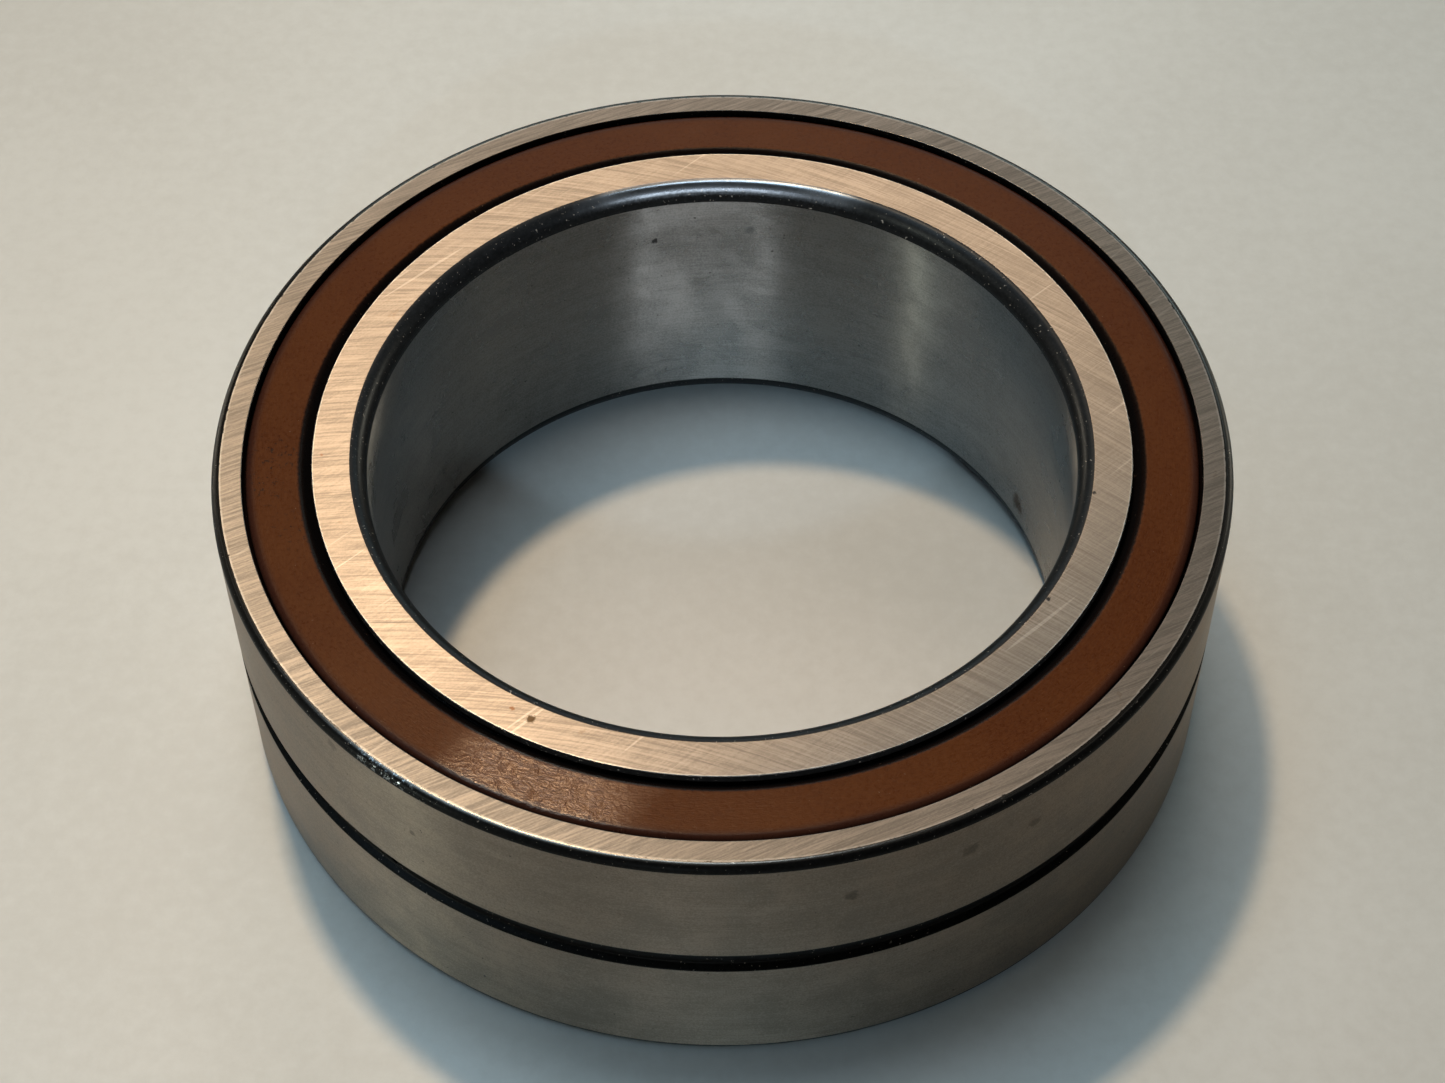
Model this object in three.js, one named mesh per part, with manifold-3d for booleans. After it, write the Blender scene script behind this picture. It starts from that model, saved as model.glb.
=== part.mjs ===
// Double-row angular contact ball bearing with a rubber seal on each side.
// Millimetres. +Z runs along the bearing's axis, and the origin is on the axis, in the plane of
// the lower end faces. Most heights below are measured from mid-width, because the bearing is
// the same above and below it.

import * as THREE from "three";
import { mergeVertices } from "three/addons/utils/BufferGeometryUtils.js";
import Module from "manifold-3d";

const wasm = await Module();
wasm.setup();

// Boundary dimensions.
const BORE_RADIUS = 35;
const OUTSIDE_RADIUS = 50;
const WIDTH = 32;
const MID_WIDTH = WIDTH / 2;

// Balls and their rows.
const BALL_RADIUS = 8.731 / 2;
const BALLS_PER_ROW = 24;
const PITCH_RADIUS = 42.5;
const ROW_HEIGHT = 6.6;
const RUNNING_GAP = 0.3;
const RACEWAY_RADIUS = BALL_RADIUS + RUNNING_GAP;

// Ring shoulders. The back-to-back arrangement puts the outer ring's high shoulder, one shared
// rib, between the rows and the inner ring's high shoulders at the ends.
const OUTER_HIGH_SHOULDER = 44.9;
const OUTER_LOW_SHOULDER = 46.4;
const INNER_HIGH_SHOULDER = 40.2;
const INNER_LOW_SHOULDER = 38.7;

// Outer ring corners, seal recess and lubrication groove.
const OUTER_CORNER = 0.85;
const SEAL_RECESS_RADIUS = 47;
const SNAP_GROOVE_RADIUS = 47.9;
const OIL_GROOVE_FLOOR = 49.3;
const OIL_GROOVE_HALF_WIDTH = 1.32;
const OIL_GROOVE_TAPER = 0.35;
const OIL_HOLE_RADIUS = 0.75;
const OIL_HOLE_COUNT = 3;
const FIRST_OIL_HOLE = -39;
const OIL_HOLE_SIDES = 10;

// Inner ring corner and lip groove.
const INNER_CORNER = { radial: 1.5, axial: 2.07 };
const LIP_GROOVE_RADIUS = 39.4;

// Seal and its steel insert.
const SEAL_DEPTH = 0.29;
const SEAL_FLAT = { inner: 41.4, outer: 46.3 };
const SEAL_UNDERSIDE = 13.6;
const INSERT = { inner: 41.7, outer: 46, bottom: 12.8, thickness: 0.5 };

// Snap cage: a ring on the outboard side of the balls, with fingers that reach inboard.
const CAGE = { inner: 40.8, outer: 44.4, back: 12.4, fingerReach: 2.4 };
const POCKET_SIDES = 12;

// How finely round shapes are divided.
const SEGMENTS = 48;
const RACEWAY_STEPS = 5;

// Finishes.
const RING_STEEL = finish("ring_steel", 0x8c857c, 0.35, 1);
const BALL_STEEL = finish("ball_steel", 0xc9cbcd, 0.12, 1);
const SEAL_RUBBER = finish("seal_rubber", 0x633c24, 0.55, 0);
const INSERT_STEEL = finish("insert_steel", 0x77787a, 0.5, 1);
const CAGE_POLYAMIDE = finish("cage_polyamide", 0xd8cfb4, 0.6, 0);

function finish(name, color, roughness, metalness) {
  return new THREE.MeshStandardMaterial({ name, color, roughness, metalness });
}

// A ring turned from a closed outline of [radius, height above mid-width] points, which runs up
// the bore side, out across the top and down the outside.
function turned(outline) {
  const closed = [...outline, outline[0]];
  const points = closed.reverse().map(([radius, height]) => new THREE.Vector2(radius, height));
  const geometry = new THREE.LatheGeometry(points, SEGMENTS);
  geometry.rotateX(Math.PI / 2);
  geometry.translate(0, 0, MID_WIDTH);
  return geometry;
}

// The whole outline of a ring, from its upper half given bore side first.
function withLowerHalf(upper) {
  const lower = upper.map(([radius, height]) => [radius, -height]);
  return [...upper, ...lower.reverse()];
}

// Points along a raceway, from one shoulder's radius to the other's. side is 1 on the outer ring
// and -1 on the inner ring. The arc starts inboard of the ball centres.
function raceway(side, inboardShoulder, outboardShoulder) {
  const angleAt = (shoulder) => Math.acos((side * (shoulder - PITCH_RADIUS)) / RACEWAY_RADIUS);
  const start = -angleAt(inboardShoulder);
  const end = angleAt(outboardShoulder);
  const points = [];
  for (let i = 0; i <= RACEWAY_STEPS; i += 1) {
    const angle = start + ((end - start) * i) / RACEWAY_STEPS;
    const radius = PITCH_RADIUS + side * RACEWAY_RADIUS * Math.cos(angle);
    points.push([radius, ROW_HEIGHT + RACEWAY_RADIUS * Math.sin(angle)]);
  }
  return points;
}

function solid(geometry) {
  const bare = geometry.clone();
  bare.deleteAttribute("normal");
  bare.deleteAttribute("uv");
  const merged = mergeVertices(bare, 1e-4);
  const mesh = new wasm.Mesh({
    numProp: 3,
    vertProperties: new Float32Array(merged.attributes.position.array),
    triVerts: new Uint32Array(merged.index.array),
  });
  return new wasm.Manifold(mesh);
}

function cut(blank, tools) {
  let result = solid(blank);
  for (const tool of tools) {
    result = result.subtract(solid(tool));
  }
  const mesh = result.getMesh();
  const geometry = new THREE.BufferGeometry();
  geometry.setAttribute("position", new THREE.BufferAttribute(mesh.vertProperties, 3));
  geometry.setIndex(new THREE.BufferAttribute(mesh.triVerts, 1));
  geometry.computeVertexNormals();
  return geometry;
}

// A cylinder along the radius at the given angle, which is measured from -Y towards +X.
function radialCylinder(radius, from, to, sides, angle, height) {
  const geometry = new THREE.CylinderGeometry(radius, radius, to - from, sides);
  geometry.translate(0, -(from + to) / 2, 0);
  geometry.rotateZ(angle);
  geometry.translate(0, 0, height);
  return geometry;
}

function outerRing() {
  const faceRadius = OUTSIDE_RADIUS - OUTER_CORNER;
  const upper = [
    ...raceway(1, OUTER_HIGH_SHOULDER, OUTER_LOW_SHOULDER),
    [OUTER_LOW_SHOULDER, 12.9],
    [SNAP_GROOVE_RADIUS, 13.6],
    [SNAP_GROOVE_RADIUS, 14.4],
    [SEAL_RECESS_RADIUS, 14.9],
    [SEAL_RECESS_RADIUS, MID_WIDTH],
    [faceRadius, MID_WIDTH],
    [OUTSIDE_RADIUS, MID_WIDTH - OUTER_CORNER],
    [OUTSIDE_RADIUS, OIL_GROOVE_HALF_WIDTH],
    [OIL_GROOVE_FLOOR, OIL_GROOVE_HALF_WIDTH - OIL_GROOVE_TAPER],
  ];
  const holes = [];
  for (let i = 0; i < OIL_HOLE_COUNT; i += 1) {
    const angle = THREE.MathUtils.degToRad(FIRST_OIL_HOLE + (360 * i) / OIL_HOLE_COUNT);
    const [from, to] = [OUTER_HIGH_SHOULDER - 2, OUTSIDE_RADIUS + 2];
    holes.push(radialCylinder(OIL_HOLE_RADIUS, from, to, OIL_HOLE_SIDES, angle, MID_WIDTH));
  }
  return cut(turned(withLowerHalf(upper)), holes);
}

function innerRing() {
  const upper = [
    [BORE_RADIUS, MID_WIDTH - INNER_CORNER.axial],
    [BORE_RADIUS + INNER_CORNER.radial, MID_WIDTH],
    [INNER_HIGH_SHOULDER, MID_WIDTH],
    [INNER_HIGH_SHOULDER, 15.1],
    [LIP_GROOVE_RADIUS, 14.8],
    [LIP_GROOVE_RADIUS, 13.5],
    [INNER_HIGH_SHOULDER, 13.1],
    ...raceway(-1, INNER_LOW_SHOULDER, INNER_HIGH_SHOULDER).reverse(),
  ];
  return turned(withLowerHalf(upper));
}

// The seal's flat web, the bead that snaps into the outer ring, and the lip that dips into the
// inner ring's groove.
function seal() {
  const top = MID_WIDTH - SEAL_DEPTH;
  return turned([
    [40.7, SEAL_UNDERSIDE],
    [39.95, 13.9],
    [40.05, 14.4],
    [41, 15.3],
    [SEAL_FLAT.inner, top],
    [SEAL_FLAT.outer, top],
    [46.7, 15.3],
    [46.7, 14.75],
    [47.5, 14.3],
    [47.5, 13.9],
    [46.6, SEAL_UNDERSIDE],
  ]);
}

function sealInsert() {
  const top = INSERT.bottom + INSERT.thickness;
  return turned([
    [INSERT.inner, INSERT.bottom],
    [INSERT.inner, top],
    [INSERT.outer, top],
    [INSERT.outer, INSERT.bottom],
  ]);
}

function cage() {
  const fingerEnd = ROW_HEIGHT - CAGE.fingerReach;
  const blank = turned([
    [CAGE.inner, fingerEnd],
    [CAGE.inner, CAGE.back],
    [CAGE.outer, CAGE.back],
    [CAGE.outer, fingerEnd],
  ]);
  const pocketRadius = RACEWAY_RADIUS / Math.cos(Math.PI / POCKET_SIDES);
  const pockets = [];
  for (let i = 0; i < BALLS_PER_ROW; i += 1) {
    const [from, to] = [CAGE.inner - 2, CAGE.outer + 2];
    const height = MID_WIDTH + ROW_HEIGHT;
    pockets.push(radialCylinder(pocketRadius, from, to, POCKET_SIDES, ballAngle(i), height));
  }
  return cut(blank, pockets);
}

function ballAngle(index) {
  return (2 * Math.PI * index) / BALLS_PER_ROW;
}

function ball() {
  return new THREE.IcosahedronGeometry(BALL_RADIUS, 1);
}

// The same piece turned over, for the lower side.
function turnedOver(geometry) {
  const copy = geometry.clone();
  copy.translate(0, 0, -MID_WIDTH);
  copy.rotateX(Math.PI);
  copy.translate(0, 0, MID_WIDTH);
  return copy;
}

function addPart(group, name, geometry, material) {
  const mesh = new THREE.Mesh(geometry, material);
  mesh.name = name;
  group.add(mesh);
  return mesh;
}

function addBallRow(group, row, height) {
  const geometry = ball();
  for (let i = 0; i < BALLS_PER_ROW; i += 1) {
    const name = `${row}_ball_${String(i + 1).padStart(2, "0")}`;
    const mesh = addPart(group, name, geometry, BALL_STEEL);
    mesh.position.set(0, -PITCH_RADIUS, 0).applyAxisAngle(new THREE.Vector3(0, 0, 1), ballAngle(i));
    mesh.position.z = height;
    mesh.rotation.z = ballAngle(i);
  }
}

const bearing = new THREE.Group();
addPart(bearing, "outer_ring", outerRing(), RING_STEEL);
addPart(bearing, "inner_ring", innerRing(), RING_STEEL);
addPart(bearing, "upper_seal", seal(), SEAL_RUBBER);
addPart(bearing, "lower_seal", turnedOver(seal()), SEAL_RUBBER);
addPart(bearing, "upper_seal_insert", sealInsert(), INSERT_STEEL);
addPart(bearing, "lower_seal_insert", turnedOver(sealInsert()), INSERT_STEEL);
addPart(bearing, "upper_cage", cage(), CAGE_POLYAMIDE);
addPart(bearing, "lower_cage", turnedOver(cage()), CAGE_POLYAMIDE);
addBallRow(bearing, "upper", MID_WIDTH + ROW_HEIGHT);
addBallRow(bearing, "lower", MID_WIDTH - ROW_HEIGHT);

export default bearing;
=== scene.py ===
"""Looks of a sealed double-row angular contact ball bearing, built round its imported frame.

Sizes are in millimetres unless a name says otherwise. Heights are measured from mid-width,
because the bearing is the same above and below it. Outlines are [radius, height] points.
"""

import math

import bmesh
import bpy
from mathutils import Matrix, Vector, noise


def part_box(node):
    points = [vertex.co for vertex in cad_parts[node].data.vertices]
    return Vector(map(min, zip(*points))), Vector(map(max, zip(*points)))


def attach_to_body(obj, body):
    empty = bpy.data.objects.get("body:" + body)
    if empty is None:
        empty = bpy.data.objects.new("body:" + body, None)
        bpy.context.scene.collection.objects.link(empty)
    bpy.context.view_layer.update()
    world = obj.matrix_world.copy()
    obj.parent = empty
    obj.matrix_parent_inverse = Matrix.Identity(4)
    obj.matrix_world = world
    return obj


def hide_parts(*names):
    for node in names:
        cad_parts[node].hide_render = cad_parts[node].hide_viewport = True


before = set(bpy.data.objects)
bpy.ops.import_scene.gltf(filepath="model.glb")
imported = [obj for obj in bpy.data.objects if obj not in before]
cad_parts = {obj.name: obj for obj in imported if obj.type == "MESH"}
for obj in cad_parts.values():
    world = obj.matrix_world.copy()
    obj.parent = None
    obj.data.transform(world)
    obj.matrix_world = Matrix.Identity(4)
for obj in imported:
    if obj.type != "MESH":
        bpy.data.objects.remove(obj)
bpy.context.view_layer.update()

MM = 0.001

# ---------------------------------------------------------------- driving dimensions

low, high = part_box("outer_ring")
OUTSIDE = high.x / MM
HALF_WIDTH = (high.z - low.z) / MM / 2
BORE = 0.7 * OUTSIDE
PITCH = (OUTSIDE + BORE) / 2
BALL = 8.731 / 2
BALLS = 24
ROW = 6.6
TRACK = BALL * 1.05

OUTER_FACE_BORE = 47.0
OUTER_CORNER = 0.85
OUTER_SHOULDERS = (44.9, 46.4)
INNER_FACE_EDGE = 40.2
INNER_SHOULDER = 38.7
BORE_CORNER = (1.5, 2.07)
GROOVE_FLOOR = 49.3
GROOVE_HALF = 1.32
OIL_HOLES = 3
OIL_HOLE_RADIUS = 0.75
FIRST_OIL_HOLE = -39

SEAL_INSIDE = 41.4
SEAL_OUTSIDE = 46.3
SEAL_FACE = HALF_WIDTH - 0.29
CAGE_INSIDE = 40.8
CAGE_OUTSIDE = 44.4
CAGE_BACK = 12.4
CAGE_FINGER = ROW - 2.4
POCKET_GAP = 0.22

SEGMENTS = 360
CAGE_SEGMENTS = 240
SHARP = math.radians(35)
AXIS = (0.0, 0.0, 1.0)

# ---------------------------------------------------------------- driving light and paint values

LIGHT_DISTANCE = 1.2
COOL = (0.85, 0.93, 1.0)
STAIN = (0.1, 0.08, 0.06)
PIT_BLACK = (0.03, 0.028, 0.027)


# ---------------------------------------------------------------- outlines and turned meshes


def corner_points(before, corner, after, cuts, steps):
    """Replaces a corner by a quarter ellipse that leaves each side cuts away from it."""
    a = corner + (before - corner).normalized() * cuts[0]
    b = corner + (after - corner).normalized() * cuts[1]
    centre = a + b - corner
    points = []
    for i in range(steps + 1):
        turn = math.pi / 2 * i / steps
        points.append(centre + (a - centre) * math.cos(turn) + (b - centre) * math.sin(turn))
    return points


def outline(stations, closed=True):
    """Turns stations into dense points (radius, height, finish of the stretch after it).

    A station is (radius, height, cuts of its corner, finish on it, finish on the stretch after).
    Long stretches get a point close to each end, which keeps their shading flat."""
    hold = 0.05
    corners = [Vector(station[:2]) for station in stations]
    count = len(stations)
    rows = []
    for i, (_, _, cuts, arc, stretch) in enumerate(stations):
        points = [corners[i]]
        if cuts:
            pair = cuts if isinstance(cuts, tuple) else (cuts, cuts)
            steps = 10 if max(pair) > 0.4 else 4
            after = corners[(i + 1) % count]
            points = corner_points(corners[i - 1], corners[i], after, pair, steps)
        rows += [(point.x, point.y, arc) for point in points[:-1]]
        rows.append((points[-1].x, points[-1].y, stretch))
    following = rows[1:] + (rows[:1] if closed else [])
    dense = []
    for (r, h, finish), (r2, h2, _) in zip(rows, following):
        dense.append((r, h, finish))
        length = math.hypot(r2 - r, h2 - h)
        if length > 6 * hold:
            for t in (hold / length, 1 - hold / length):
                dense.append((r + (r2 - r) * t, h + (h2 - h) * t, finish))
    return dense


def mirrored(upper, closing):
    """A closed outline from its upper half. closing is the finish where its ends meet."""
    finishes = [closing] + [row[2] for row in upper]
    lower = [(r, -h, finish) for (r, h, _), finish in zip(upper, finishes)]
    return upper + lower[::-1]


def track(side, inboard, outboard):
    """Raceway points from the inboard shoulder's radius to the outboard shoulder's.

    side is 1 for the outer ring and -1 for the inner ring."""
    steps = 20
    angles = [math.acos(side * (shoulder - PITCH) / TRACK) for shoulder in (inboard, outboard)]
    points = []
    for i in range(steps + 1):
        angle = -angles[0] + (angles[0] + angles[1]) * i / steps
        point = (PITCH + side * TRACK * math.cos(angle), ROW + TRACK * math.sin(angle))
        points.append((*point, "track"))
    return points


def turned(name, rows, finishes, segments=SEGMENTS, wobble=None):
    """A solid of revolution. finishes maps a finish's name to its material.

    wobble gives the small changes of radius and height of a point that is not quite round."""
    names = list(finishes)
    verts, faces, finish_of = [], [], []
    count = len(rows)
    for step in range(segments):
        angle = 2 * math.pi * step / segments
        for r, h, _ in rows:
            dr, dh = wobble(r, h, angle) if wobble else (0, 0)
            radius, height = (r + dr) * MM, (h + dh + HALF_WIDTH) * MM
            verts.append((radius * math.sin(angle), -radius * math.cos(angle), height))
    for step in range(segments):
        here, beyond = step * count, ((step + 1) % segments) * count
        for i, (_, _, finish) in enumerate(rows):
            j = (i + 1) % count
            faces.append((here + i, here + j, beyond + j, beyond + i))
            finish_of.append(names.index(finish))
    mesh = bpy.data.meshes.new(name)
    mesh.from_pydata(verts, [], faces)
    mesh.polygons.foreach_set("material_index", finish_of)
    for material in finishes.values():
        mesh.materials.append(material)
    return finished(name, mesh)


def finished(name, mesh):
    """Faces out, smooth shading with sharp edges, and an object in the scene."""
    bm = bmesh.new()
    bm.from_mesh(mesh)
    bmesh.ops.recalc_face_normals(bm, faces=bm.faces)
    bm.to_mesh(mesh)
    bm.free()
    mesh.shade_smooth()
    mesh.set_sharp_from_angle(angle=SHARP)
    piece = bpy.data.objects.new(name, mesh)
    bpy.context.scene.collection.objects.link(piece)
    return piece


def carve(piece, cutters):
    """Subtracts the cutter meshes from a piece."""
    bm = bmesh.new()
    for cutter in cutters:
        bm.from_mesh(cutter)
    joined = bpy.data.meshes.new("cutters")
    bm.to_mesh(joined)
    bm.free()
    tool = bpy.data.objects.new("cutters", joined)
    bpy.context.scene.collection.objects.link(tool)
    modifier = piece.modifiers.new("cut", "BOOLEAN")
    modifier.operation = "DIFFERENCE"
    modifier.solver = "EXACT"
    modifier.object = tool
    bpy.context.view_layer.update()
    graph = bpy.context.evaluated_depsgraph_get()
    cut = bpy.data.meshes.new_from_object(piece.evaluated_get(graph))
    piece.modifiers.clear()
    piece.data = cut
    bpy.data.objects.remove(tool)
    cut.set_sharp_from_angle(angle=SHARP)


# ---------------------------------------------------------------- shader helper


class Shader:
    """A node material, built by short calls. Lengths in its coordinates are millimetres."""

    def __init__(self, name):
        self.material = bpy.data.materials.new(name)
        self.material.use_nodes = True
        self.tree = self.material.node_tree
        self.surface = self.tree.nodes["Principled BSDF"]
        position = self.add("ShaderNodeTexCoord").outputs["Object"]
        self.place = self.vector("SCALE", position, scale=1 / MM)
        parts = self.add("ShaderNodeSeparateXYZ", Vector=self.place)
        self.x, self.y, self.z = parts.outputs
        self.radius = self.math("SQRT", self.math("ADD", self.square(self.x), self.square(self.y)))
        self.angle = self.math("ARCTAN2", self.x, self.math("MULTIPLY", self.y, -1))
        self.height = self.math("SUBTRACT", self.z, HALF_WIDTH)

    def add(self, kind, props=None, **inputs):
        """Adds a node. props are its settings, and inputs its sockets' values or links."""
        node = self.tree.nodes.new(kind)
        for key, value in (props or {}).items():
            setattr(node, key, value)
        for key, value in inputs.items():
            self.put(node.inputs[key.replace("_", " ")], value)
        return node

    def put(self, socket, value):
        """Links a socket or sets its value. None leaves it as it is."""
        if isinstance(value, bpy.types.NodeSocket):
            self.tree.links.new(value, socket)
        elif value is not None:
            socket.default_value = value

    def math(self, operation, *values):
        node = self.add("ShaderNodeMath", {"operation": operation})
        for socket, value in zip(node.inputs, values):
            self.put(socket, value)
        return node.outputs[0]

    def square(self, value):
        return self.math("MULTIPLY", value, value)

    def vector(self, operation, a, b=None, scale=None):
        node = self.add("ShaderNodeVectorMath", {"operation": operation})
        self.put(node.inputs[0], a)
        self.put(node.inputs[1], b)
        self.put(node.inputs[3], scale)
        return node.outputs["Value" if operation == "DISTANCE" else "Vector"]

    def combine(self, x, y, z=0.0):
        node = self.add("ShaderNodeCombineXYZ")
        for socket, value in zip(node.inputs, (x, y, z)):
            self.put(socket, value)
        return node.outputs[0]

    def noise(self, vector, scale=1.0, detail=3.0, rough=0.55, distortion=0.0):
        node = self.add("ShaderNodeTexNoise", Vector=vector, Scale=scale, Detail=detail)
        self.put(node.inputs["Roughness"], rough)
        self.put(node.inputs["Distortion"], distortion)
        return node.outputs["Fac"]

    def band(self, value, start, end, low=0.0, high=1.0):
        """Rises smoothly from low to high as value goes from start to end."""
        node = self.add("ShaderNodeMapRange", {"interpolation_type": "SMOOTHSTEP"}, Value=value)
        keys = ("From Min", "From Max", "To Min", "To Max")
        for key, number in zip(keys, (start, end, low, high)):
            self.put(node.inputs[key], number)
        return node.outputs["Result"]

    def mix(self, factor, a, b):
        """The colour a where factor is 0 and b where it is 1."""
        node = self.add("ShaderNodeMix", {"data_type": "RGBA"})
        self.put(node.inputs[0], factor)
        for socket, value in zip((node.inputs[6], node.inputs[7]), (a, b)):
            self.put(socket, (*value, 1.0) if isinstance(value, tuple) else value)
        return node.outputs[2]

    def between(self, factor, a, b):
        """The number a where factor is 0 and b where it is 1."""
        node = self.add("ShaderNodeMix", {"data_type": "FLOAT"})
        for socket, value in zip(node.inputs[:1] + node.inputs[2:4], (factor, a, b)):
            self.put(socket, value)
        return node.outputs[0]

    def spot(self, centre, size, ragged=0.5, scale=1.0):
        """1 inside a ragged patch round a point given as (radius, angle in degrees, height)."""
        radius, degrees, height = centre
        turn = math.radians(degrees)
        point = (radius * math.sin(turn), -radius * math.cos(turn), height + HALF_WIDTH)
        distance = self.vector("DISTANCE", self.place, point)
        rough = self.noise(self.place, scale)
        edge = self.math("MULTIPLY_ADD", rough, ragged * 2 * size, -ragged * size)
        return self.band(self.math("ADD", distance, edge), size, size * 0.45)

    def bump(self, height, depth, strength):
        """A normal for a relief: height runs from 0 to about 1, and 1 stands depth mm proud."""
        node = self.add("ShaderNodeBump", Height=height, Distance=depth * MM, Strength=strength)
        return node.outputs["Normal"]

    def finish(self, **inputs):
        """Sets the surface. A tuple is a colour, or, for the tangent, the direction AXIS."""
        for key, value in inputs.items():
            name = key.replace("_", " ")
            if name == "Tangent" and value == AXIS:
                value = self.combine(*AXIS)
            elif isinstance(value, tuple):
                value = (*value, 1.0)
            self.put(self.surface.inputs[name], value)
        return self.material


# ---------------------------------------------------------------- materials


def grinding_lines(shader, slope, bend, fine, length):
    """Noise coordinates for the marks of a large grinding disc, and the direction across them.

    The marks are parallel arcs y = level - slope x - bend x^2. Their noise is fine mm across and
    length mm along."""
    sag = shader.math("MULTIPLY", shader.x, shader.math("MULTIPLY_ADD", shader.x, bend, slope))
    level = shader.math("DIVIDE", shader.math("ADD", shader.y, sag), fine)
    steep = shader.math("MULTIPLY_ADD", shader.x, 2 * bend, slope)
    return (
        shader.combine(level, shader.math("DIVIDE", shader.x, length)),
        shader.vector("NORMALIZE", shader.combine(steep, 1.0)),
    )


def ground_face(name, arcs, outer, tint, shade, roughness, stretch, marks=()):
    """End face ground by a large disc: parallel arcs, faint cross marks, nicked edges and a painted
    highlight along its outer edge.

    arcs holds the slope and bend of the arcs, and outer is the face's outer radius.
    A mark is (place, size, colour, strength)."""
    s = Shader(name)
    lines, across = grinding_lines(s, *arcs, 0.26, 9.0)
    cross, _ = grinding_lines(s, -0.9, 0.0, 0.3, 5.0)
    fine = s.noise(lines, 1.0, 4.0, 0.75, 0.1)
    wide = s.noise(lines, 0.25, 2.0, 0.5, 0.3)
    crossing = s.noise(cross, 1.0, 3.0, 0.6)
    blotch = s.noise(s.place, 0.13, 4.0, 0.6, 0.4)
    grain = s.noise(s.place, 4.0, 3.0, 0.7)
    tone = s.math("MULTIPLY_ADD", fine, 0.55, s.math("MULTIPLY", wide, 0.15))
    tone = s.math("ADD", tone, s.math("MULTIPLY_ADD", crossing, 0.15, s.math("MULTIPLY", grain, 0.15)))
    colour = s.mix(s.band(tone, 0.4, 0.6), shade, tint)
    colour = s.mix(s.math("MULTIPLY", s.band(blotch, 0.35, 0.7), 0.25), colour, shade)
    deep = s.band(s.noise(lines, 0.45, 1.0, 0.4, 0.2), 0.68, 0.74)
    colour = s.mix(s.math("MULTIPLY", deep, 0.25), colour, (0.1, 0.085, 0.07))
    bright = s.band(s.noise(cross, 0.4, 1.0, 0.4, 0.2), 0.7, 0.76)
    colour = s.mix(s.math("MULTIPLY", bright, 0.12), colour, (0.8, 0.74, 0.66))
    # Painted highlight: a ragged light line just inside the face's outer edge.
    ragged = s.noise(s.place, 1.7, 4.0, 0.65)
    reach = s.math("ADD", s.radius, s.math("MULTIPLY_ADD", ragged, 0.3, -0.15))
    rim = s.band(reach, outer - 0.22, outer - 0.04)
    colour = s.mix(s.math("MULTIPLY", rim, 0.3), colour, (0.8, 0.76, 0.7))
    stain = s.band(s.noise(s.place, 0.55, 5.0, 0.65), 0.66, 0.72)
    colour = s.mix(s.math("MULTIPLY", stain, 0.35), colour, (0.16, 0.11, 0.07))
    chip = s.math("MULTIPLY_ADD", s.noise(s.place, 1.1, 5.0, 0.7), 0.9, s.radius)
    colour = s.mix(s.band(chip, outer + 0.46, outer + 0.52), colour, PIT_BLACK)
    for point, size, paint, strength in marks:
        patch = s.math("MULTIPLY", s.spot(point, size, 0.8, 1.4 / size), strength)
        colour = s.mix(patch, colour, paint)
    relief = s.math("MULTIPLY_ADD", deep, -0.8, s.math("MULTIPLY_ADD", crossing, 0.15, fine))
    return s.finish(
        Base_Color=colour,
        Metallic=1.0,
        Roughness=s.band(tone, 0.35, 0.65, roughness * 1.1, roughness * 0.9),
        Anisotropic=stretch,
        Tangent=across,
        Normal=s.bump(relief, 0.006, 0.9),
    )


def round_coordinates(s, along, across):
    """Noise coordinates for marks that run round the axis, along mm long and across mm apart."""
    sine = s.math("MULTIPLY", s.math("SINE", s.angle), OUTSIDE / along)
    cosine = s.math("MULTIPLY", s.math("COSINE", s.angle), OUTSIDE / along)
    level = s.math("DIVIDE", s.math("ADD", s.height, s.radius), across)
    return s.combine(sine, cosine, level)


def ground_round(name, tint, shade, rough, stretch, marks=()):
    """A cylinder ground all round: fine lines round it, blotches, pits and given stains."""
    s = Shader(name)
    lines = s.noise(round_coordinates(s, 6.0, 0.09), 1.0, 3.0, 0.6)
    broad = s.noise(round_coordinates(s, 14.0, 1.6), 1.0, 3.0, 0.55)
    grain = s.noise(s.place, 5.0, 3.0, 0.7)
    cloud = s.noise(s.place, 0.16, 5.0, 0.62, 0.5)
    tone = s.math("MULTIPLY_ADD", lines, 0.2, s.math("MULTIPLY", broad, 0.1))
    tone = s.math("ADD", tone, s.math("MULTIPLY_ADD", grain, 0.4, s.math("MULTIPLY", cloud, 0.3)))
    colour = s.mix(s.band(tone, 0.4, 0.6), shade, tint)
    specks = s.band(s.noise(s.place, 1.35, 2.0, 0.5), 0.735, 0.765)
    colour = s.mix(s.math("MULTIPLY", specks, 0.7), colour, (0.05, 0.04, 0.035))
    for centre, size, paint, strength in marks:
        patch = s.math("MULTIPLY", s.spot(centre, size, 0.8, 1.4 / size), strength)
        colour = s.mix(patch, colour, paint)
    relief = s.math("MULTIPLY_ADD", lines, 0.35, s.math("MULTIPLY", grain, 0.5))
    dents = s.math("MULTIPLY", specks, -2.0)
    roughness = s.band(cloud, 0.3, 0.7, rough, rough + 0.08)
    return s.finish(
        Base_Color=colour,
        Metallic=1.0,
        Roughness=roughness,
        Anisotropic=stretch,
        Tangent=AXIS,
        Normal=s.bump(s.math("ADD", relief, dents), 0.004, 0.7),
    )


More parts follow.
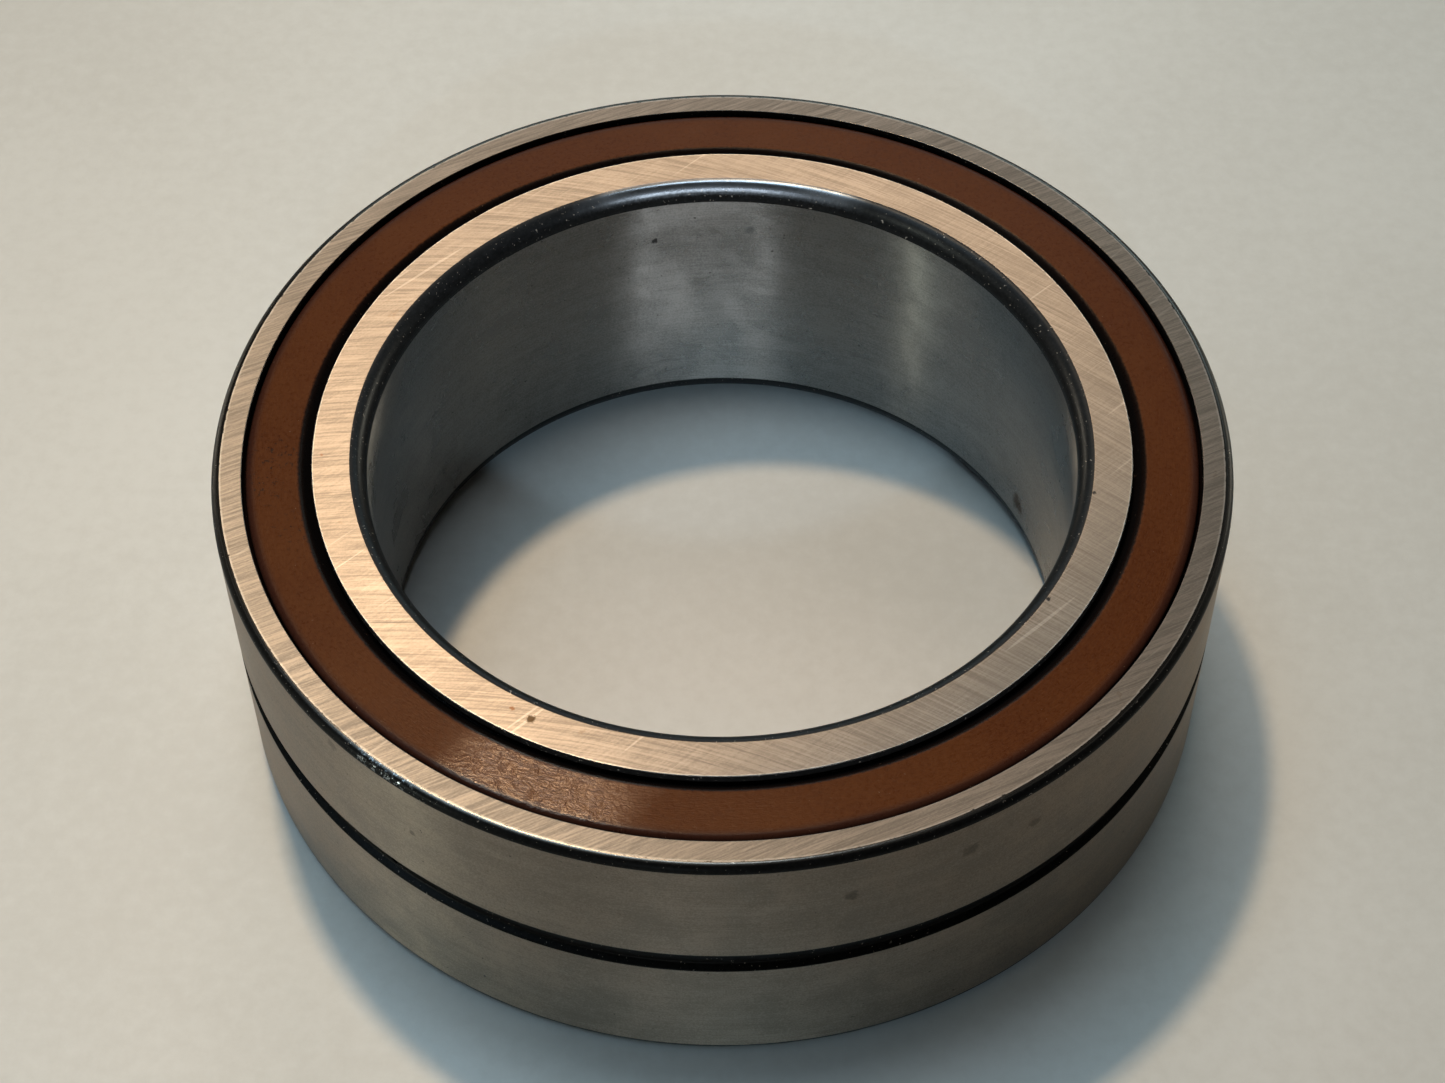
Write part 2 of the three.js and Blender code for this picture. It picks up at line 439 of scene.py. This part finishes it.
def black_oxide(name, black, bare_and_highlight, reach, scuff_and_glint=None, rub_and_highlight=None):
    """Steel left black by heat treatment, its coating rubbing off to steel for reach mm below the end
    faces.

    A scuffed place, given as (radius, degrees, height), puts bright uncoated flecks on the edge,
    partly real scuffing and partly painted glints. The rubbing place is the middle of the stretch
    where the uncoated band is at full strength, which is a painted highlight of the lamps. Elsewhere
    it hardly shows."""
    s = Shader(name)
    turning = s.noise(round_coordinates(s, 9.0, 0.25), 1.0, 3.0, 0.6)
    scale = s.noise(s.place, 2.6, 5.0, 0.65)
    colour = s.mix(s.band(scale, 0.35, 0.7), tuple(0.5 * part for part in black), black)
    level = s.math("MULTIPLY_ADD", scale, reach * 0.5, s.math("ABSOLUTE", s.height))
    wear_and_highlight = s.band(level, HALF_WIDTH - reach * 0.75, HALF_WIDTH + reach * 0.25)
    # Painted highlight: outside one stretch, the uncoated band fades almost away.
    if rub_and_highlight:
        wear_and_highlight = s.math("MULTIPLY", wear_and_highlight, s.between(s.spot(rub_and_highlight, 17.0, 0.3, 0.2), 0.03, 1.0))
    colour = s.mix(wear_and_highlight, colour, bare_and_highlight)
    # Painted glints: uncoated flecks round one place on the edge, partly real scuffing.
    if scuff_and_glint:
        sparkle = s.band(s.noise(s.place, 2.2, 4.0, 0.7, 0.6), 0.54, 0.6)
        scuff_glints = s.math("MULTIPLY", s.spot(scuff_and_glint, 4.5, 0.5, 0.3), sparkle)
        wear_and_highlight = s.math("MAXIMUM", wear_and_highlight, scuff_glints)
        colour = s.mix(scuff_glints, colour, (0.3, 0.31, 0.32))
    dust = s.band(s.noise(s.place, 3.4, 2.0, 0.5), 0.68, 0.74)
    colour = s.mix(s.math("MULTIPLY", dust, 0.6), colour, (0.5, 0.44, 0.38))
    relief = s.math("MULTIPLY_ADD", turning, 0.5, s.math("MULTIPLY", scale, 0.8))
    return s.finish(
        Base_Color=colour,
        Metallic=s.between(wear_and_highlight, 0.3, 1.0),
        Roughness=s.between(wear_and_highlight, 0.36, 0.22),
        Specular_IOR_Level=0.3,
        Specular_Tint=(0.5, 0.5, 0.5),
        Normal=s.bump(relief, 0.012, 0.6),
    )


def honed_track(name):
    """Raceway: polished steel with faint lines round it."""
    s = Shader(name)
    lines = s.noise(round_coordinates(s, 8.0, 0.12), 1.0, 2.0, 0.6)
    colour = s.mix(lines, (0.42, 0.41, 0.4), (0.6, 0.59, 0.57))
    return s.finish(
        Base_Color=colour,
        Metallic=1.0,
        Roughness=s.band(lines, 0.3, 0.7, 0.14, 0.22),
        Anisotropic=0.5,
        Tangent=AXIS,
        Normal=s.bump(lines, 0.002, 0.6),
    )


def seal_rubber(name):
    """Red-brown nitrile rubber: fine ridges, dark specks, dust, a greasy patch, a near-black lip, and
    painted shade on its outer slope and sunken parts.
    """
    s = Shader(name)
    ridges = s.noise(round_coordinates(s, 0.85, 0.17), 1.0, 4.0, 0.62, 0.5)
    mottle = s.noise(s.place, 2.4, 4.0, 0.6, 0.6)
    cloud = s.noise(s.place, 0.11, 4.0, 0.55, 0.3)
    colour = s.mix(s.band(mottle, 0.35, 0.7), (0.108, 0.0255, 0.005), (0.14, 0.036, 0.007))
    colour = s.mix(s.math("MULTIPLY", s.band(cloud, 0.4, 0.7), 0.4), colour, (0.16, 0.046, 0.01))
    specks = s.band(s.noise(s.place, 2.1, 4.0, 0.75), 0.56, 0.66)
    outer_dirt = s.spot((45.4, -86, HALF_WIDTH), 6.0, 0.5, 0.3)
    inner_dirt = s.spot((42.2, -75, HALF_WIDTH), 3.4, 0.5, 0.4)
    density = s.between(s.math("MAXIMUM", outer_dirt, inner_dirt), 0.12, 0.85)
    colour = s.mix(s.math("MULTIPLY", specks, density), colour, (0.02, 0.012, 0.011))
    # Painted shade: the rubber's outer slope, which falls into the gap by the outer ring, is darkened.
    edge = s.band(s.math("ADD", s.radius, s.math("MULTIPLY", mottle, 0.5)), 45.7, 46.6)
    colour = s.mix(s.math("MULTIPLY", edge, 0.6), colour, (0.03, 0.017, 0.019))
    # Painted shade: the rubber sunk below its face level is darkened nearly to black.
    depth = s.band(s.math("ABSOLUTE", s.height), HALF_WIDTH - 0.42, HALF_WIDTH - 0.8)
    colour = s.mix(s.math("MULTIPLY", depth, 0.93), colour, (0.006, 0.004, 0.0035))
    lip = s.band(s.math("MULTIPLY_ADD", mottle, 0.3, s.radius), 41.85, 41.55)
    colour = s.mix(s.math("MULTIPLY", lip, 0.95), colour, (0.006, 0.005, 0.005))
    dust = s.band(s.noise(s.place, 2.9, 2.0, 0.5), 0.745, 0.775)
    colour = s.mix(s.math("MULTIPLY", dust, 0.5), colour, (0.4, 0.25, 0.17))
    greasy = s.spot((44, -22, HALF_WIDTH), 11.5, 0.3, 0.2)
    wormy = s.noise(round_coordinates(s, 1.7, 0.8), 1.0, 3.0, 0.6, 1.8)
    relief = s.math("MULTIPLY_ADD", ridges, 1.0, s.math("MULTIPLY", mottle, 0.35))
    relief = s.math("MULTIPLY_ADD", s.math("MULTIPLY", wormy, greasy), 3.0, relief)
    return s.finish(
        Base_Color=colour,
        Roughness=s.between(greasy, s.band(mottle, 0.3, 0.75, 0.26, 0.36), 0.22),
        Specular_IOR_Level=s.between(greasy, 0.13, 0.75),
        Specular_Tint=(1.0, 0.78, 0.62),
        Normal=s.bump(relief, 0.03, 1.0),
    )


def insert_steel(name):
    """Pressed sheet steel, phosphated dull grey."""
    s = Shader(name)
    grain = s.noise(s.place, 6.0, 4.0, 0.7)
    colour = s.mix(grain, (0.12, 0.12, 0.125), (0.26, 0.26, 0.27))
    return s.finish(
        Base_Color=colour,
        Metallic=0.9,
        Roughness=s.band(grain, 0.3, 0.7, 0.42, 0.55),
        Normal=s.bump(grain, 0.01, 0.6),
    )


def ball_steel(name):
    """Polished ball: near mirror, with a faint haze and micro scratches."""
    s = Shader(name)
    marks = s.noise(s.place, 9.0, 4.0, 0.7)
    haze = s.noise(s.place, 0.7, 2.0, 0.5)
    colour = s.mix(marks, (0.66, 0.66, 0.67), (0.8, 0.8, 0.81))
    return s.finish(
        Base_Color=colour,
        Metallic=1.0,
        Roughness=s.band(haze, 0.3, 0.7, 0.06, 0.13),
        Normal=s.bump(marks, 0.0006, 0.5),
    )


def cage_polyamide(name):
    """Glass-filled polyamide: cream, with flow marks and a fine moulded grain."""
    s = Shader(name)
    flow = s.noise(round_coordinates(s, 8.0, 2.0), 1.0, 4.0, 0.6, 0.8)
    grain = s.noise(s.place, 8.0, 3.0, 0.7)
    colour = s.mix(s.band(flow, 0.3, 0.7), (0.52, 0.45, 0.31), (0.66, 0.6, 0.45))
    return s.finish(
        Base_Color=colour,
        Roughness=s.band(grain, 0.3, 0.7, 0.42, 0.58),
        Subsurface_Weight=0.15,
        Subsurface_Scale=0.6 * MM,
        Normal=s.bump(grain, 0.008, 0.6),
    )


def bench_metal(name):
    """Plain pale bench top of satin sheet metal."""
    s = Shader(name)
    cloud = s.noise(s.place, 0.012, 4.0, 0.6)
    grain = s.noise(s.place, 0.5, 4.0, 0.65)
    tone = s.math("MULTIPLY_ADD", cloud, 0.6, s.math("MULTIPLY", grain, 0.4))
    colour = s.mix(s.band(tone, 0.35, 0.65), (0.7, 0.69, 0.66), (0.76, 0.755, 0.73))
    return s.finish(
        Base_Color=colour,
        Metallic=0.75,
        Roughness=0.62,
        Normal=s.bump(grain, 0.02, 0.3),
    )


# ---------------------------------------------------------------- pieces


def outer_ring(finishes):
    """The outer ring: raceways, seal grooves, ground faces, and a groove with oil holes."""
    raceway = track(1, *OUTER_SHOULDERS)
    stations = [
        (*raceway.pop()[:2], 0, "black", "black"),
        (OUTER_SHOULDERS[1], 12.9, 0.15, "black", "black"),
        (47.9, 13.6, 0.2, "black", "black"),
        (47.9, 14.4, 0.2, "black", "black"),
        (OUTER_FACE_BORE, 14.9, 0.1, "black", "black"),
        (OUTER_FACE_BORE, HALF_WIDTH, 0.06, "black", "face"),
        (OUTSIDE, HALF_WIDTH, OUTER_CORNER, "black", "round"),
        (OUTSIDE, GROOVE_HALF, 0.1, "black", "black"),
        (GROOVE_FLOOR, GROOVE_HALF - 0.35, 0.15, "black", "black"),
        (GROOVE_FLOOR, 0, 0, "black", "black"),
    ]
    upper = raceway + outline(stations, closed=False)
    piece = turned("outer_ring_body", mirrored(upper, "black"), finishes)
    places = [FIRST_OIL_HOLE + 360 / OIL_HOLES * i for i in range(OIL_HOLES)]
    carve(piece, [radial_cylinder(OIL_HOLE_RADIUS, (43, 52), 32, place) for place in places])
    return piece


def inner_ring(finishes):
    """The inner ring: ground bore with large corners, seal lip grooves and raceways."""
    raceway = track(-1, INNER_SHOULDER, INNER_FACE_EDGE)[::-1]
    stations = [
        (BORE, 0, 0, "round", "round"),
        (BORE, HALF_WIDTH, (BORE_CORNER[1], BORE_CORNER[0]), "corner", "face"),
        (INNER_FACE_EDGE, HALF_WIDTH, 0.06, "black", "black"),
        (INNER_FACE_EDGE, 15.1, 0.1, "black", "black"),
        (39.4, 14.8, 0.15, "black", "black"),
        (39.4, 13.5, 0.15, "black", "black"),
        (INNER_FACE_EDGE, 13.1, 0.12, "black", "black"),
        (*raceway[0][:2], 0, "track", "track"),
    ]
    upper = outline(stations, closed=False)[1:] + raceway
    return turned("inner_ring_body", mirrored(upper, "round"), finishes)


def radial_cylinder(radius, reach, sides, degrees, height=0.0):
    """A drill for a hole that points at the axis, reach being its least and greatest radius."""
    inside, outside = reach
    bm = bmesh.new()
    bmesh.ops.create_cone(
        bm,
        segments=sides,
        radius1=radius * MM,
        radius2=radius * MM,
        depth=(outside - inside) * MM,
        cap_ends=True,
    )
    centre = (0, -(inside + outside) / 2 * MM, (height + HALF_WIDTH) * MM)
    place = Matrix.Rotation(math.radians(degrees), 4, "Z") @ Matrix.Translation(centre)
    bmesh.ops.transform(bm, matrix=place @ Matrix.Rotation(math.pi / 2, 4, "X"), verts=bm.verts)
    mesh = bpy.data.meshes.new("cylinder")
    bm.to_mesh(mesh)
    bm.free()
    return mesh


def seal_wobble(r, h, angle):
    """Moulded rubber is never quite round: its edges wander by a few hundredths of a mm."""
    around = Vector((math.sin(angle), math.cos(angle), 0))
    reach = 0.5
    edge = sum(max(0, 1 - abs(r - rim) / reach) for rim in (SEAL_INSIDE, SEAL_OUTSIDE))
    ripple = 0.05 * noise.noise(around * 5 + Vector((0, 0, 3))) + 0.025 * noise.noise(around * 40)
    swell = 0.02 * noise.noise(around * 3 + Vector((0, 0, r * 0.4)))
    return edge * ripple, swell if h > 14 else 0


def seal(name, side, material):
    """A rubber lip seal, its outer edge in the outer ring and its lip beside the inner one."""
    stations = [
        (40.7, 13.6, 0.1),
        (39.95, 13.9, 0.1),
        (40.05, 14.4, 0.12),
        (41.0, 15.3, 0.1),
        (SEAL_INSIDE, SEAL_FACE, 0.3),
        (SEAL_OUTSIDE, SEAL_FACE, 0.3),
        (46.7, 15.3, 0.15),
        (46.7, 14.75, 0.15),
        (47.5, 14.3, 0.2),
        (47.5, 13.9, 0.15),
        (46.6, 13.6, 0.1),
    ]
    rows = outline([(*station, "rubber", "rubber") for station in stations])
    piece = turned(name, rows, {"rubber": material}, wobble=seal_wobble)
    if side < 0:
        turn_over(piece)
    return piece


def seal_insert(name, side, material):
    """The flat steel ring bonded behind a seal's rubber."""
    stations = [(41.7, 12.8), (41.7, 13.3), (46.0, 13.3), (46.0, 12.8)]
    rows = outline([(*station, 0.12, "steel", "steel") for station in stations])
    piece = turned(name, rows, {"steel": material})
    if side < 0:
        turn_over(piece)
    return piece


def turn_over(piece):
    """Turns a piece over about mid-width, so that it serves the lower side."""
    centre = Matrix.Translation((0, 0, HALF_WIDTH * MM))
    piece.data.transform(centre @ Matrix.Rotation(math.pi, 4, "X") @ centre.inverted())


def cage(name, side, material):
    """Snap cage: a ring behind the balls whose fingers, split between them, hold each ball."""
    stations = [
        (CAGE_INSIDE, CAGE_FINGER),
        (CAGE_INSIDE, CAGE_BACK),
        (CAGE_OUTSIDE, CAGE_BACK),
        (CAGE_OUTSIDE, CAGE_FINGER),
    ]
    rows = outline([(*station, 0.25, "nylon", "nylon") for station in stations])
    piece = turned(name, rows, {"nylon": material}, segments=CAGE_SEGMENTS)
    slit_radius = 0.7
    cutters = []
    for i in range(BALLS):
        degrees = 360 * i / BALLS
        cutters.append(pocket(degrees))
        halfway = degrees + 180 / BALLS
        cutters.append(radial_cylinder(slit_radius, (39, 46), 20, halfway, CAGE_FINGER))
    carve(piece, cutters)
    if side < 0:
        turn_over(piece)
    return piece


def pocket(degrees):
    """A sphere a little larger than a ball, which cuts its pocket."""
    bm = bmesh.new()
    bmesh.ops.create_icosphere(bm, subdivisions=4, radius=(BALL + POCKET_GAP) * MM)
    turn = math.radians(degrees)
    place = (PITCH * math.sin(turn) * MM, -PITCH * math.cos(turn) * MM, (ROW + HALF_WIDTH) * MM)
    bmesh.ops.translate(bm, vec=place, verts=bm.verts)
    mesh = bpy.data.meshes.new("pocket")
    bm.to_mesh(mesh)
    bm.free()
    return mesh


def ball(name, node, material):
    """A ball, where the frame has its CAD ball."""
    bottom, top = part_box(node)
    centre = (bottom + top) / 2
    bm = bmesh.new()
    bmesh.ops.create_icosphere(bm, subdivisions=4, radius=BALL * MM)
    mesh = bpy.data.meshes.new(name)
    bm.to_mesh(mesh)
    bm.free()
    mesh.materials.append(material)
    piece = finished(name, mesh)
    piece.location = centre
    return piece


def attach(piece, body, node):
    """Rides the piece on its body, in place of its CAD node, which it hides."""
    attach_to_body(piece, body)
    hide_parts(node)


def outer_finishes(black, polished):
    """The outer ring's materials by finish."""
    face = ground_face(
        "outer_ground_face",
        arcs=(-0.45, 0.0),
        outer=OUTSIDE - OUTER_CORNER,
        tint=(0.335, 0.29, 0.245),
        shade=(0.185, 0.16, 0.135),
        roughness=0.41,
        stretch=0.55,
    )
    stains = [
        ((OUTSIDE, 13, 9.5), 0.9, STAIN, 0.6),
        ((OUTSIDE, 26, 11.0), 1.1, STAIN, 0.5),
        ((OUTSIDE, 34, 10.0), 0.9, STAIN, 0.5),
        ((OUTSIDE, -34.8, 8.6), 0.5, STAIN, 0.6),
        ((OUTSIDE, -45.7, 14.0), 0.8, (0.12, 0.1, 0.08), 0.5),
    ]
    outside = ground_round(
        "ground_outside",
        tint=(0.47, 0.37, 0.285),
        shade=(0.29, 0.23, 0.175),
        rough=0.3,
        stretch=0.9,
        marks=stains,
    )
    return {"face": face, "round": outside, "black": black, "track": polished}


def inner_finishes(black, polished):
    """The inner ring's materials by finish."""
    pits = [
        ((37.8, -30.7, HALF_WIDTH), 0.3, (0.12, 0.06, 0.03), 0.9),
        ((38.0, -27.5, HALF_WIDTH), 0.55, (0.04, 0.025, 0.012), 0.95),
        ((39.2, -87.3, HALF_WIDTH), 0.2, (0.15, 0.08, 0.05), 0.8),
        ((36.7, 56.0, HALF_WIDTH), 0.3, PIT_BLACK, 1.0),
        ((36.7, 78.0, HALF_WIDTH), 0.25, PIT_BLACK, 1.0),
    ]
    face = ground_face(
        "inner_ground_face",
        arcs=(0.364, 0.0059),
        outer=INNER_FACE_EDGE,
        tint=(0.25, 0.212, 0.178),
        shade=(0.145, 0.12, 0.098),
        roughness=0.33,
        stretch=0.9,
        marks=pits,
    )
    rust_and_pits = [
        ((BORE, 113, -11.5), 1.5, (0.06, 0.03, 0.012), 0.9),
        ((BORE, -168.4, 8.9), 0.5, (0.02, 0.018, 0.018), 0.9),
        ((BORE, 174.8, 9.8), 0.7, (0.1, 0.1, 0.1), 0.5),
    ]
    bore = ground_round(
        "ground_bore",
        tint=(0.335, 0.315, 0.292),
        shade=(0.205, 0.193, 0.179),
        rough=0.26,
        stretch=1.0,
        marks=rust_and_pits,
    )
    # Painted highlight: this corner's bluish uncoated band is kept to the back of the bore, under the
    # light overhead.
    corner = black_oxide(
        "rubbed_black_oxide",
        black=(0.014, 0.0145, 0.015),
        bare_and_highlight=(0.3, 0.33, 0.37),
        reach=1.3,
        rub_and_highlight=(36, 180, 15),
    )
    return {"face": face, "round": bore, "corner": corner, "black": black, "track": polished}


def build_bearing():
    # Painted glints on the outer corner's edge at -38 degrees, partly real scuffing.
    black = black_oxide(
        "black_oxide",
        black=(0.014, 0.0135, 0.0135),
        bare_and_highlight=(0.12, 0.11, 0.1),
        reach=0.12,
        scuff_and_glint=(49.7, -38, HALF_WIDTH),
    )
    polished = honed_track("honed_track")
    steel = ball_steel("ball_steel")
    rubber = seal_rubber("seal_rubber")
    sheet_steel = insert_steel("insert_steel")
    nylon = cage_polyamide("cage_polyamide")
    outer = outer_ring(outer_finishes(black, polished))
    attach(outer, "housing_side", "outer_ring")
    inner = inner_ring(inner_finishes(black, polished))
    attach(inner, "inner_ring", "inner_ring")
    for side, word in ((1, "upper"), (-1, "lower")):
        rubber_seal = seal(f"{word}_rubber_seal", side, rubber)
        attach(rubber_seal, "housing_side", f"{word}_seal")
        insert = seal_insert(f"{word}_insert_ring", side, sheet_steel)
        attach(insert, "housing_side", f"{word}_seal_insert")
        snap_cage = cage(f"{word}_snap_cage", side, nylon)
        attach(snap_cage, f"{word}_cage", f"{word}_cage")
        for i in range(BALLS):
            node = f"{word}_ball_{i + 1:02d}"
            steel_ball = ball(f"{word}_steel_ball_{i + 1:02d}", node, steel)
            attach(steel_ball, node, node)


# ---------------------------------------------------------------- stage, light and camera


def build_floor():
    """A bench top just under the bearing, so that the two do not share a plane."""
    bpy.ops.mesh.primitive_plane_add(size=3.0, location=(0, 0, -0.02 * MM))
    floor = bpy.context.object
    floor.name = "floor"
    floor.data.materials.append(bench_metal("bench_metal"))


def direction(azimuth, elevation):
    """A unit vector. Azimuth 90 is behind the bearing, 180 its left and -90 the camera's side."""
    turn, rise = math.radians(azimuth), math.radians(elevation)
    level = math.cos(rise)
    return Vector((math.cos(turn) * level, math.sin(turn) * level, math.sin(rise)))


def hang(light, towards, target, group):
    """Hangs a light LIGHT_DISTANCE m from target, facing it, for the pieces in group or for all."""
    lamp = bpy.data.objects.new(light.name, light)
    lamp.location = towards * LIGHT_DISTANCE + target
    lamp.rotation_euler = towards.to_track_quat("Z", "Y").to_euler()
    bpy.context.scene.collection.objects.link(lamp)
    if group:
        lamp.light_linking.receiver_collection = group


def area_light(name, azimuth, elevation, width, height, power, colour, group):
    """A soft rectangular light that faces the bearing, width by height m."""
    light = bpy.data.lights.new(name, "AREA")
    light.shape = "RECTANGLE"
    light.size = width
    light.size_y = height
    light.energy = power
    light.color = colour
    hang(light, direction(azimuth, elevation), Vector((0, 0, HALF_WIDTH * MM)), group)


def receivers(name, pieces):
    """A collection of the pieces that a lamp is allowed to light."""
    group = bpy.data.collections.new(name)
    for piece in pieces:
        group.objects.link(bpy.data.objects[piece])
    return group


def inside_fill(group):
    """A snooted lamp behind the camera, aimed through the bore at the floor by its far wall."""
    light = bpy.data.lights.new("inside_fill", "SPOT")
    light.energy = 75
    light.color = (0.55, 0.8, 1.0)
    light.shadow_soft_size = 0.05
    light.spot_size = math.radians(3.2)
    light.spot_blend = 1.0
    hang(light, direction(-90, 33), Vector((0, 0.75 * BORE * MM, 0)), group)


def build_lights():
    """A warm key and cool windows from behind, and low strips that streak the round sides."""
    bore_only = receivers("bore_only", ("inner_ring_body",))
    floor_only = receivers("floor_only", ("floor",))
    # name, azimuth, elevation, width and height in m, power in W, colour, pieces lit
    for settings in (
        ("key", 112, 66.5, 0.08, 0.08, 3.85, (1.0, 0.73, 0.45), None),
        ("overhead", 90, 83, 0.2, 0.2, 0.9, (0.75, 0.9, 1.0), None),
        ("high_window", 140, 72, 0.4, 0.4, 2.0, (0.55, 0.82, 1.0), None),
        ("left_window", 185, 58, 0.4, 0.35, 1.1, (0.55, 0.8, 1.0), None),
        ("back_window", 80, 27, 1.2, 0.4, 2.2, (0.68, 0.93, 1.0), None),
        ("back_warm", 90, 45, 0.4, 0.35, 0.74, (1.0, 0.77, 0.64), None),
        ("left_strip", 210, 15, 0.08, 0.3, 1.15, (0.86, 1.0, 0.9), None),
        ("left_soft", 198, 12, 0.25, 0.2, 0.35, (1.0, 0.95, 0.8), None),
        ("left_edge", 140, 6, 0.35, 0.1, 2.0, (1.0, 0.88, 0.7), None),
        ("front_strip", -101, 15, 0.03, 0.3, 0.42, (0.85, 0.95, 1.0), None),
        ("right_edge", 36, 6, 0.4, 0.1, 2.2, (1.0, 0.95, 0.78), None),
        ("bore_strip", 211, 24, 0.06, 0.3, 1.1, (1.0, 0.98, 0.78), bore_only),
        ("bore_left", -102, 22, 0.05, 0.3, 1.7, COOL, bore_only),
        ("bore_middle", -85, 22, 0.5, 0.3, 4.6, COOL, bore_only),
        ("bore_right", -68, 22, 0.05, 0.3, 2.2, COOL, bore_only),
    ):
        area_light(*settings)
    inside_fill(floor_only)


def build_world():
    """A faint warm surround, and colours shown as they are."""
    world = bpy.data.worlds.new("studio")
    bpy.context.scene.world = world
    world.use_nodes = True
    background = world.node_tree.nodes["Background"]
    background.inputs["Color"].default_value = (1.0, 0.9, 0.7, 1.0)
    background.inputs["Strength"].default_value = 0.014
    bpy.context.scene.view_settings.view_transform = "Standard"


def build_camera():
    """The camera that the photograph was taken with, in front of and above the bearing."""
    tilt, roll = math.radians(51.074), math.radians(-0.565)
    camera = bpy.data.cameras.new("camera")
    camera.sensor_width = 36
    camera.lens = 70.2
    camera.clip_start = 0.01
    eye = bpy.data.objects.new("camera", camera)
    ahead = Vector((-0.00015, math.cos(tilt), -math.sin(tilt)))
    turn = ahead.to_track_quat("-Z", "Y").to_matrix().to_4x4() @ Matrix.Rotation(roll, 4, "Z")
    eye.matrix_world = Matrix.Translation((0, -0.18189, 0.24083)) @ turn
    bpy.context.scene.collection.objects.link(eye)
    bpy.context.scene.camera = eye


build_camera()
build_bearing()
build_floor()
build_lights()
build_world()
